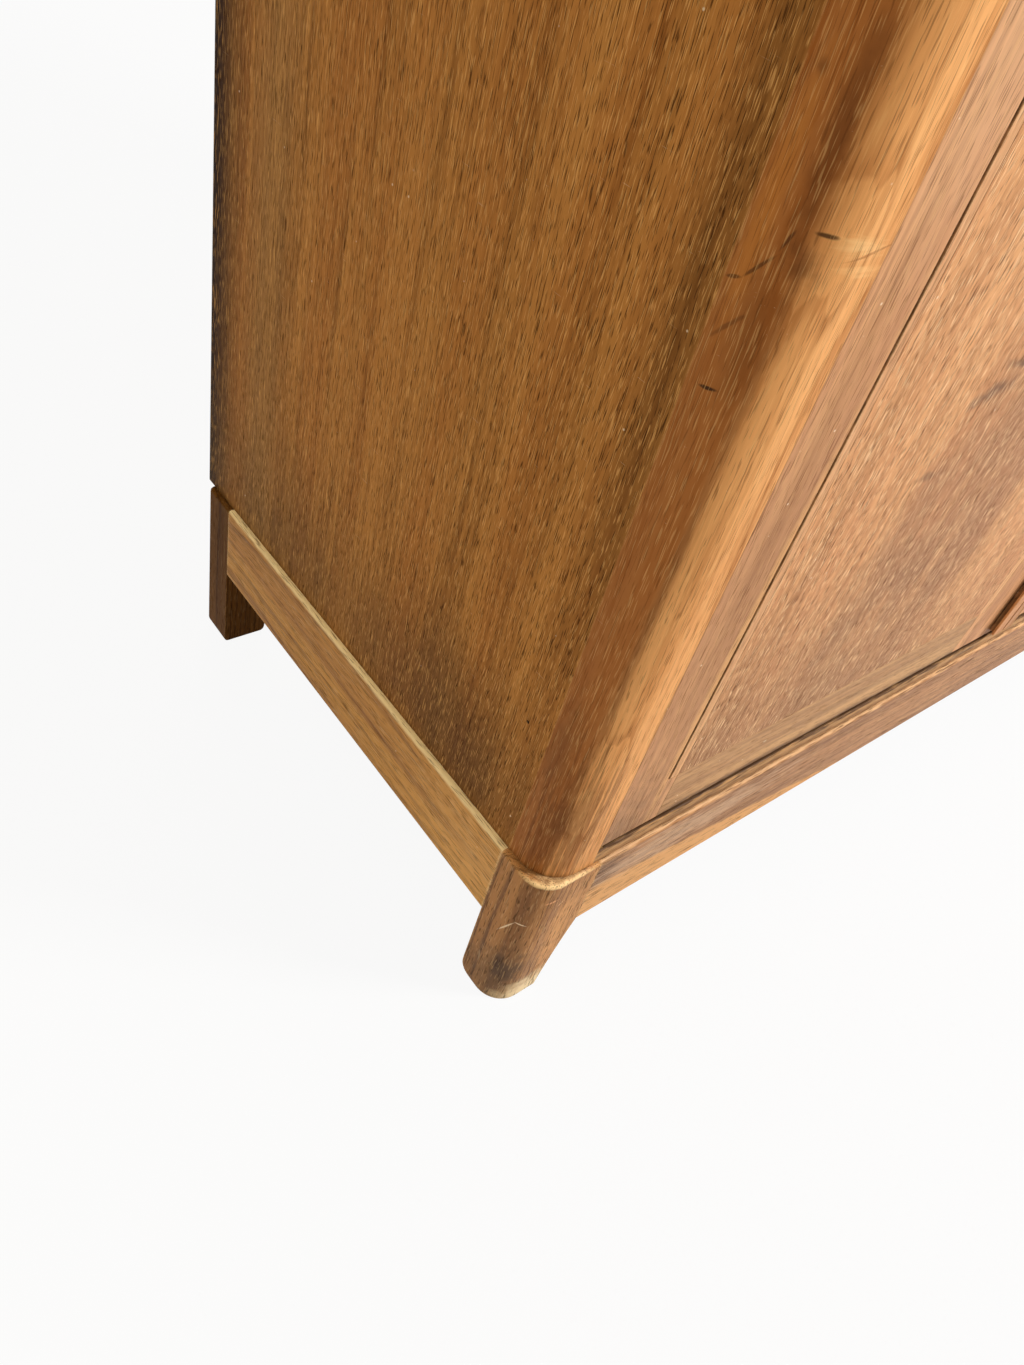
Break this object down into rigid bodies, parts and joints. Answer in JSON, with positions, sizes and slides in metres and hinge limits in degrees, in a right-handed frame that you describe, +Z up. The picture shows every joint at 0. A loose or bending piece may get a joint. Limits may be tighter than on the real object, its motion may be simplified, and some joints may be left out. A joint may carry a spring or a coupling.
{
  "type": "display cabinet",
  "caption": "Free-standing oak display cabinet on a legged base, with rounded corner posts, hinged cupboard doors with full-height pulls and sliding glass above.",
  "frame": {"origin": "on the floor, under the middle of the cabinet's box", "axes": "+Z up, -Y out of the doors' front, +X to the right as seen from the front"},
  "size_m": [0.92, 0.3956, 1.4245],
  "materials": {
    "oak_legs": "dark stained, worn varnish",
    "oak_rails": "satin varnish",
    "oak_posts": "satin varnish",
    "oak_sides": "satin varnish over veneer",
    "oak_boards": "satin varnish",
    "oak_door_frames": "satin varnish",
    "oak_door_panels": "satin varnish over veneer",
    "oak_lippings": "satin varnish",
    "oak_pulls": "satin varnish",
    "plywood": "bare",
    "pine_blocks": "bare, glued",
    "brass": "dull",
    "steel": "dull",
    "dark_plastic": "moulded",
    "glass": "clear, ground edges"
  },
  "bodies": {
    "cabinet": {"leg_front_left": "oak_legs", "leg_front_right": "oak_legs", "leg_rear_left": "oak_legs", "leg_rear_right": "oak_legs", "base_rail_front": "oak_rails", "base_rail_rear": "oak_rails", "base_rail_left": "oak_rails", "base_rail_right": "oak_rails", "corner_blocks": "pine_blocks", "base_screws": "steel", "post_left": "oak_posts", "post_right": "oak_posts", "side_panel_left": "oak_sides", "side_panel_right": "oak_sides", "bottom_board": "oak_boards", "middle_board": "oak_boards", "door_stop": "oak_boards", "glass_runner": "oak_boards", "head_rail": "oak_boards", "top": "oak_rails", "back_panel_lower": "plywood", "back_panel_upper": "plywood", "cabinet_pivots": "brass", "door_catches": "dark_plastic", "glass_shelf_lower": "glass", "glass_shelf_upper": "glass", "cupboard_shelf": "oak_boards", "display_pegs": "brass", "cupboard_pegs": "brass"},
    "left_door": {"left_door_hinge_stile": "oak_door_frames", "left_door_meeting_stile": "oak_door_frames", "left_door_bottom_rail": "oak_door_frames", "left_door_top_rail": "oak_door_frames", "left_door_panel": "oak_door_panels", "left_door_lippings": "oak_lippings", "left_door_pull": "oak_pulls", "left_door_pivot_plates": "brass", "left_door_keeper": "steel"},
    "right_door": {"right_door_hinge_stile": "oak_door_frames", "right_door_meeting_stile": "oak_door_frames", "right_door_bottom_rail": "oak_door_frames", "right_door_top_rail": "oak_door_frames", "right_door_panel": "oak_door_panels", "right_door_lippings": "oak_lippings", "right_door_pull": "oak_pulls", "right_door_pivot_plates": "brass", "right_door_keeper": "steel"},
    "left_pane": {"sliding_pane_left": "glass"},
    "right_pane": {"sliding_pane_right": "glass"}
  },
  "joints": [
    {"name": "left_door_swing", "type": "hinge", "parent": "cabinet", "child": "left_door", "pos_m": [-0.4162, -0.18885, 0.428], "axis": [0, 0, -1], "range_deg": [0, 95]},
    {"name": "right_door_swing", "type": "hinge", "parent": "cabinet", "child": "right_door", "pos_m": [0.4162, -0.18885, 0.428], "axis": [0, 0, 1], "range_deg": [0, 95]},
    {"name": "left_pane_slide", "type": "slide", "parent": "cabinet", "child": "left_pane", "axis": [1, 0, 0], "range_m": [0, 0.408]},
    {"name": "right_pane_slide", "type": "slide", "parent": "cabinet", "child": "right_pane", "axis": [-1, 0, 0], "range_m": [0, 0.408]}
  ]
}
